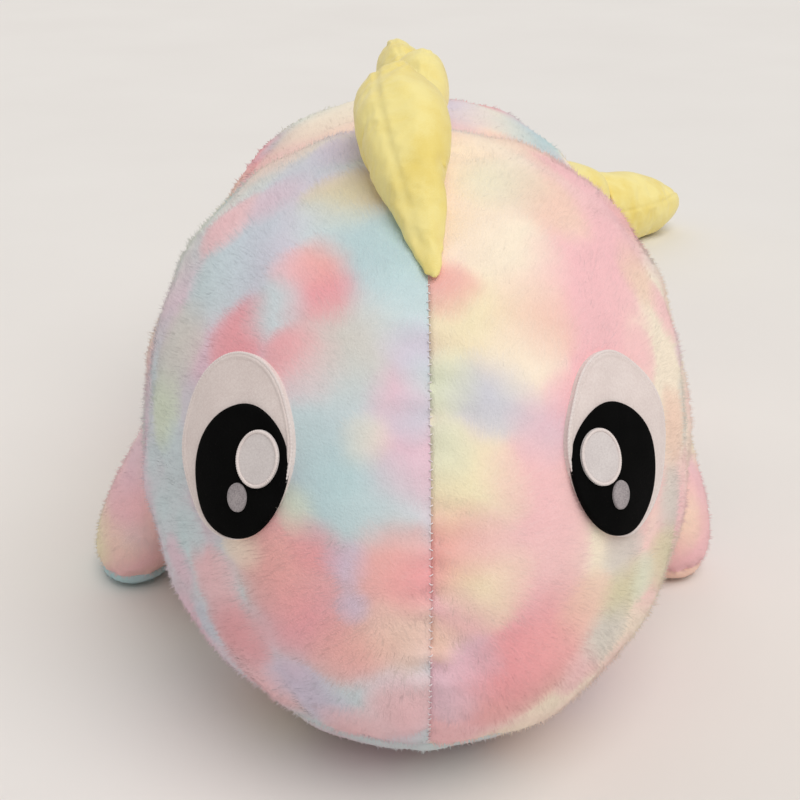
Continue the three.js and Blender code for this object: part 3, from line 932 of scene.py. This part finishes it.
def strand_mesh(name, roots, normals, tips, thickness):
    """One closed three-sided spike for each root, sunk a little into the cover."""
    count = len(roots)
    lean = unit(tips - roots)
    across = unit(np.cross(lean, normals) + 1e-6)
    upward = np.cross(lean, across)
    base = roots - ROOT_DEPTH * normals
    corners = [base + thickness[:, None] * (math.cos(a) * across + math.sin(a) * upward)
               for a in (math.pi / 2, math.pi * 7 / 6, math.pi * 11 / 6)]
    points = np.stack([*corners, tips], axis=1).reshape(-1, 3)
    mesh = bpy.data.meshes.new(name)
    mesh.vertices.add(count * 4)
    mesh.vertices.foreach_set("co", points.ravel())
    mesh.loops.add(count * 12)
    mesh.loops.foreach_set("vertex_index", (np.arange(count)[:, None] * 4 + SPIKE).ravel())
    mesh.polygons.add(count * 4)
    mesh.polygons.foreach_set("loop_start", np.arange(count * 4) * 3)
    mesh.polygons.foreach_set("use_smooth", np.ones(count * 4, bool))
    mesh.update(calc_edges=True)
    mesh.validate()
    # Sides are shaded much like the cover, the underside along the strand
    top, point, under = normals + 0.2 * lean, normals + 0.35 * lean, lean - 0.6 * normals
    shading = unit(np.stack([under, top, top, point], axis=1)).reshape(-1, 3)
    mesh.normals_split_custom_set_from_vertices([tuple(value) for value in shading])
    add_strand_map(mesh, roots)
    # The along values, 0 at the root and 1 at the tip, set the painted highlight of the tips
    for key, values in (("along", (0.0, 0.0, 0.0, 1.0)), ("under", (2.5, 0.0, 0.0, 0.0))):
        attribute = mesh.attributes.new(key, "FLOAT", "POINT")
        attribute.data.foreach_set("value", np.tile(values, count).astype(np.float32))
    piece = placed(name, mesh)
    remember_rest(piece, np.repeat(roots, 4, axis=0))
    return piece


def behind_head(y):
    return past(y, HEAD_END, 0.025)


def spacing_at(y):
    """The head has the finest pile."""
    return HEAD_SPACING + (BODY_SPACING - HEAD_SPACING) * behind_head(y)


def tufted(roots, tips, draw):
    """Tips drawn towards the tip of the nearest leading strand."""
    count = len(roots)
    lead = draw.choice(count, size=max(1, count // STRANDS_PER_TUFT), replace=False)
    finder = KDTree(len(lead))
    for index, strand in enumerate(lead):
        finder.insert(roots[strand], index)
    finder.balance()
    nearest = np.array([lead[finder.find(root)[1]] for root in roots])
    return tips + TUFTING * (tips[nearest] - tips)


def pile(name, piece, material, thinning, length, seed, bare=None):
    """The pile of a panel, in as many pieces as its number of strands needs."""
    draw = np.random.default_rng(seed)
    corners, corner_normals, areas = surface_of(piece)
    apart = thinning * spacing_at(corners[:, :, 1].mean(axis=1)) * 1
    wanted = areas / apart ** 2
    count = int(wanted.sum())
    chosen = draw.choice(len(areas), size=count, p=wanted / wanted.sum())
    shares = draw.dirichlet((1, 1, 1), size=count)[:, :, None]
    roots = (corners[chosen] * shares).sum(axis=1)
    normals = unit((corner_normals[chosen] * shares).sum(axis=1))
    stays = roots[:, 2] > LOWEST_ROOT
    for oval in eye_ovals:
        stays &= oval.radius(roots) > EYE_CLEARANCE
    if bare is not None:
        stays &= ~bare(roots)
    roots, normals, apart = roots[stays], normals[stays], apart[chosen][stays]
    count = len(roots)
    lie = unit(combed(roots, normals) + COMB_LOOSE * draw.normal(size=(count, 3)))
    flat = behind_head(roots[:, 1:2])
    angle = LYING + bumps(roots, *LYING_WAVES)[:, None]
    angle = angle + LYING_SPREAD * draw.normal(size=(count, 1))
    stands = draw.random((count, 1)) < STANDING * (1 - STANDING_FEWER * flat)
    angle += LYING_BEHIND * flat - STANDING_LIFT * stands
    way = unit(np.cos(angle) * normals + np.sin(angle) * lie)
    reach = length * np.clip(1 + LENGTH_SPREAD * draw.normal(size=(count, 1)), 0.5, 1.5)
    tips = tufted(roots, roots + reach * way, draw)
    tips[:, 2] = np.maximum(tips[:, 2], PILE_GAP)
    thickness = PILE_THICKNESS * apart / HEAD_SPACING * draw.uniform(0.7, 1.3, size=count)
    pieces = []
    lots = np.array_split(np.argsort(roots[:, 1], kind="stable"), math.ceil(count / MOST_STRANDS))
    for number, lot in enumerate(lots):
        label = f"{name}_{number + 1}" if len(lots) > 1 else name
        strands = strand_mesh(label, roots[lot], normals[lot], tips[lot], thickness[lot])
        strands.visible_shadow = False
        strands.visible_diffuse = False
        pieces.append(dress(strands, material))
    return pieces


fin_names = ["fin_1", "fin_2", "fin_3", "fin_4"]
fin_spans = []
for fin in fin_names:
    corners = [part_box(f"{fin}_{side}_panel") for side in ("left", "right")]
    fin_spans.append((min(low.y for low, _ in corners), max(high.y for _, high in corners)))


def under_fins(points):
    """Where the cover is bare: along the centre seam, and wider under the fins."""
    x, y, _ = points.T
    hidden = (np.abs(x) < SEAM_PARTING) & (y < TAIL_SEAM_AT)
    for start, end in fin_spans:
        hidden |= (np.abs(x) < FIN_PARTING) & (y > start) & (y < end)
    return hidden


for number, (name, (dye, slot, nodes, cuts)) in enumerate(panels.items()):
    panel = kept(cover, name, *cuts)
    low = dye == "belly"
    strands = pile(
        name.replace("cover", "pile"),
        panel,
        plush[dye + "_pile"],
        thinning=2.0 if low else 1.0,
        length=PILE_LENGTH * (0.7 if low else 1.0),
        seed=100 + number,
        bare=None if low else under_fins,
    )
    thickened(panel)
    remember_rest(panel)
    dress(panel, plush[dye])
    for piece in (panel, *strands):
        if name.startswith("tail"):
            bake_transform(piece)
        else:
            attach(piece, "trunk")
    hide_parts(*nodes)
cuff = dress(thickened(kept(cover, "tail_cuff_cloth", (cuff_start, tail_way))), fin_material)
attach(cuff, "tail")
bpy.data.objects.remove(cover)


# Stitches that close the centre seam, each slanting the other way than the last
def seam_stitches(hits):
    """Tubes across a seam that runs through (point, normal) pairs, a step apart along it."""
    places = np.array([hit[0] for hit in hits])
    outs = np.array([hit[1] for hit in hits]) * (0, 1, 1)
    gone = np.concatenate([[0], np.cumsum(np.linalg.norm(np.diff(places, axis=0), axis=1))])
    steps = np.arange(STITCH_STEP / 2, gone[-1], STITCH_STEP)
    places = np.column_stack([np.interp(steps, gone, axis) for axis in places.T])
    outs = unit(np.column_stack([np.interp(steps, gone, axis) for axis in outs.T]))
    side = np.array((1.0, 0, 0))
    stitches = []
    for number, (place, out) in enumerate(zip(places, outs)):
        beside = any(
            start - STITCH_CLEARANCE < place[1] < end + STITCH_CLEARANCE for start, end in fin_spans
        )
        if beside and place[2] > BACK_FROM:
            continue
        slant = STITCH_SLANT / 2 if number % 2 else -STITCH_SLANT / 2
        across = STITCH_REACH * side + slant * np.cross(out, side)
        stitches.append([place + t * across + STITCH_RISE * (1 - t * t) * out
                         for t in np.linspace(-1, 1, 7)])
    return stitches


def thread_tubes(name, paths, sides=6):
    points, faces = [], []
    for path in paths:
        path = np.array(path)
        ahead = unit(np.gradient(path, axis=0))
        across = unit(np.cross(ahead, (0, -0.6, 0.8)))
        upward = np.cross(across, ahead)
        first = len(points)
        for place, one, other in zip(path, across, upward):
            points += [place + THREAD * (math.cos(a) * one + math.sin(a) * other)
                       for a in circle(sides)]
        faces += tube_faces(first, len(path), sides)
        faces.append(tuple(range(first + sides - 1, first - 1, -1)))
        faces.append(tuple(range(len(points) - sides, len(points))))
    return made(name, points, faces)


face_seam = [head_hit(0, rise) for rise in np.arange(75, -45, -0.5)]
face_seam = [hit for hit in face_seam if hit[0].z > BELLY_SEAM + 0.004]
back_seam = [top_hit(0, y) for y in np.arange(fin_spans[0][1], TAIL_SEAM_AT, 0.002)]
paths = seam_stitches(face_seam) + seam_stitches(back_seam)
stitches = thread_tubes("centre_seam_stitches", paths)
dress(stitches, thread_material)
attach(stitches, "trunk")


# Legs
def ball(name, centre, half):
    work = bmesh.new()
    bmesh.ops.create_icosphere(work, subdivisions=4, radius=1.0)
    piece = from_bmesh(name, work)
    move_to(piece, points_of(piece.data) * half + centre)
    return piece


for number, leg in enumerate(("front_right", "front_left", "rear_right", "rear_left")):
    body = f"{leg}_leg"
    nodes = [f"{leg}_leg_panel", f"{leg}_sole_panel", f"{leg}_leg_stuffing"]
    hinge = np.array(joint_of(body)["pos_m"])
    low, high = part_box(nodes[0])
    foot = np.array(((low.x + high.x) / 2, (low.y + high.y) / 2, 0.0))
    foot[0] += FOOT_SPLAY * (foot[0] - hinge[0])
    down = unit(foot - hinge)
    plug = ball("plug", hinge + 0.004 * down, PLUG_HALF)
    limb = remeshed(copy_of(body, nodes, [plug]), LEG_VOXEL)
    smoothed(limb, 10, 0.0010)
    height = points_of(limb.data)[:, 2]
    held = (np.abs(height - SOLE_SEAM) < 0.5 * LEG_VOXEL) | (height < LEG_REST)
    inflated(limb, held, pressure=4.0, cap=0.005, slack=0.02)
    subdivided(limb)
    points, normals = points_of(limb.data), normals_of(limb.data)
    depth = fold(points * (1, 1, 0), points[:, 2] - SOLE_SEAM, *SOLE_FOLD)
    points = points - depth[:, None] * normals
    points[:, 2] = np.maximum(points[:, 2], LIMB_GAP)
    move_to(limb, points)
    seam = (0, 0, SOLE_SEAM)
    upper = kept(limb, f"{leg}_leg_cover", (seam, (0, 0, 1)))
    sole = kept(limb, f"{leg}_sole_cover", (seam, (0, 0, -1)))
    strands, sole_strands = (
        pile(f"{leg}_{part}_pile", piece, plush[part + "_pile"], thinning, length, seed + number)
        for part, piece, thinning, length, seed in (
            ("leg", upper, 0.85, PILE_LENGTH, 200),
            ("sole", sole, 1.2, 0.6 * PILE_LENGTH, 220),
        )
    )
    for piece, part in ((upper, "leg"), (sole, "sole")):
        thickened(piece)
        remember_rest(piece)
        dress(piece, plush[part])
    for piece in (upper, *strands):
        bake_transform(piece)
    for piece in (sole, *sole_strands):
        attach(piece, body)
    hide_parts(nodes[0], nodes[2])
    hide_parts(nodes[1])
    bpy.data.objects.remove(limb)


# Fins: two cloth leaves sewn along the free edge, standing on the back seam
def blade(span, lean, low, high, half):
    """A thin neck along the back seam that carries a fin."""
    shares = np.linspace(0.05, 0.90, 40)
    up = np.array((math.sin(lean), 0, math.cos(lean)))
    side = np.array((math.cos(lean), 0, -math.sin(lean)))
    points = []
    for share in shares:
        y = span[0] + share * (span[1] - span[0])
        seam = np.array((0, y, ridge_height(y)))
        swell = math.sin(math.pi * share) ** 0.6
        for level, sign in ((low, -1), (low, 1), (high * swell, 1), (high * swell, -1)):
            points.append(seam + level * up + sign * half * swell * side)
    faces = tube_faces(0, len(shares), 4)
    last = 4 * (len(shares) - 1)
    faces += [(3, 2, 1, 0), (last, last + 1, last + 2, last + 3)]
    return made("blade", points, faces)


def over_ridge(points):
    return np.array([z - ridge_height(y) for _, y, z in points])


def from_edge(points, left, right):
    """How much nearer each point is to the left panel; 0 at the sewn edge."""
    return np.array([right.find_nearest(p)[3] - left.find_nearest(p)[3] for p in points])


for fin, span in zip(fin_names, fin_spans):
    nodes = [f"{fin}_left_panel", f"{fin}_right_panel", f"{fin}_stuffing"]
    flop = joint_of(fin)["range_deg"]
    lean = -math.radians(flop[0] + flop[1]) / 2
    neck = blade(span, lean, low=-0.008, high=0.016, half=0.0045)
    leaf = remeshed(copy_of(f"{fin}_cloth", nodes, [neck]), FIN_VOXEL)
    smoothed(leaf, 16, -0.0005)
    sides = [tree_of(frame["nodes"][node].data) for node in nodes[:2]]
    points = points_of(leaf.data)
    edge = np.abs(from_edge(points, *sides)) < FIN_SEAM_HELD
    root = over_ridge(points) < FIN_ROOT
    inflated(leaf, edge | root, pressure=5.0, cap=0.005, slack=0.03)
    subdivided(leaf)
    points, normals = points_of(leaf.data), normals_of(leaf.data)
    apart = from_edge(points, *sides)
    clear = over_ridge(points) > FIN_FOOT
    depth = fold(points * (0, 1, 1), apart, *FIN_FOLD) * clear
    depth += bumps(points, *FIN_BUMPS)
    share = np.clip((points[:, 1] - span[0]) / (span[1] - span[0]), 0, 1)
    crown = FIN_CROWN * np.sin(math.pi * share) ** 0.7
    if fin == "fin_1":
        crown -= FIN_SLOPE * np.clip((share - 0.4) / 0.4, 0, 1) * (normals[:, 0] > 0.1)
    depth -= crown * (1 - near(apart, FIN_FLAT_EDGE)) * clear
    depth = Neighbours(leaf.data).drawn(depth[:, None], 10)
    points = points - depth * normals
    ahead, behind = points[:, 1:2] - span[0], span[1] - points[:, 1:2]
    for away, (reach, pull) in zip((ahead, ahead, behind), FIN_PULLS):
        points += near(away, reach) * pull
    move_to(leaf, points)
    dress(leaf, fin_material)
    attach(leaf, fin)
    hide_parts(*nodes)


# Yellow end of the tail
TIP_NODES = ["tail_tip_upper_panel", "tail_tip_lower_panel", "tail_tip_stuffing"]
tip = remeshed(copy_of("tail_tip_cloth", TIP_NODES), TIP_VOXEL)
smoothed(tip, 8, 0.0015)
tip_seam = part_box("tail_tip_upper_panel")[0].z
height = points_of(tip.data)[:, 2]
held = (np.abs(height - tip_seam) < TIP_SEAM_HELD) | (height < TIP_REST)
inflated(tip, held, pressure=5.0, cap=0.006, slack=0.03)
subdivided(tip)
points, normals = points_of(tip.data), normals_of(tip.data)
depth = fold(points * (1, 1, 0), points[:, 2] - tip_seam, *TIP_FOLD)
depth += bumps(points, *TIP_BUMPS)
points = points - depth[:, None] * normals
ahead = (points - tip_hinge) @ tail_way
points -= TIP_SINK * near(np.maximum(ahead, 0), TAIL_END_FADE)[:, None] * np.array(tail_way)
points[:, 2] = np.maximum(points[:, 2], LIMB_GAP)
move_to(tip, points)
dress(tip, fin_material)
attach(tip, "tail_tip")
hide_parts(*TIP_NODES)


# Floor and light
def add_stage(half):
    corners = [(-half, -half, 0), (half, -half, 0), (half, half, 0), (-half, half, 0)]
    floor = made("floor", corners, [(0, 1, 2, 3)])
    nodes = Nodes("pale_floor")
    place = nodes.add("TexCoord").outputs["Object"]
    cloud = nodes.noise(place, scale=3, detail=3.0)
    nodes.set(Base_Color=nodes.mix(cloud, linear((226, 223, 220)), linear((232, 230, 227))))
    dress(floor, nodes.set(Roughness=0.9, Specular_IOR_Level=0.0), False)


def add_world(light, backdrop):
    """Even light from all round, and a backdrop as pale as the floor."""
    world = bpy.data.worlds.new("world")
    scene.world = world
    world.use_nodes = True
    tree = world.node_tree
    shown = tree.nodes["World Output"].inputs["Surface"]
    around = tree.nodes["Background"]
    behind = tree.nodes.new("ShaderNodeBackground")
    around.inputs["Color"].default_value = (1.0, 0.985, 0.97, 1)
    around.inputs["Strength"].default_value = light
    behind.inputs["Color"].default_value = linear(backdrop)
    seen = tree.nodes.new("ShaderNodeLightPath").outputs["Is Camera Ray"]
    mixed = tree.nodes.new("ShaderNodeMixShader")
    for link, socket in ((seen, 0), (around.outputs[0], 1), (behind.outputs[0], 2)):
        tree.links.new(link, mixed.inputs[socket])
    tree.links.new(mixed.outputs[0], shown)


def add_sun(name, place, strength, spread, colour):
    data = bpy.data.lights.new(name, "SUN")
    data.energy = strength
    data.angle = math.radians(spread)
    data.color = colour
    lamp = placed(name, data)
    lamp.rotation_euler = (-Vector(place)).to_track_quat("-Z", "Y").to_euler()


add_stage(half=30)
add_sun("key", (0.38, -0.48, 1.0), strength=1.65, spread=50, colour=(1.0, 0.97, 0.94))
add_sun("fill", (-0.3, 0.8, 0.7), strength=0.45, spread=60, colour=(1.0, 0.98, 0.96))
add_world(light=0.46, backdrop=(229, 225, 219))
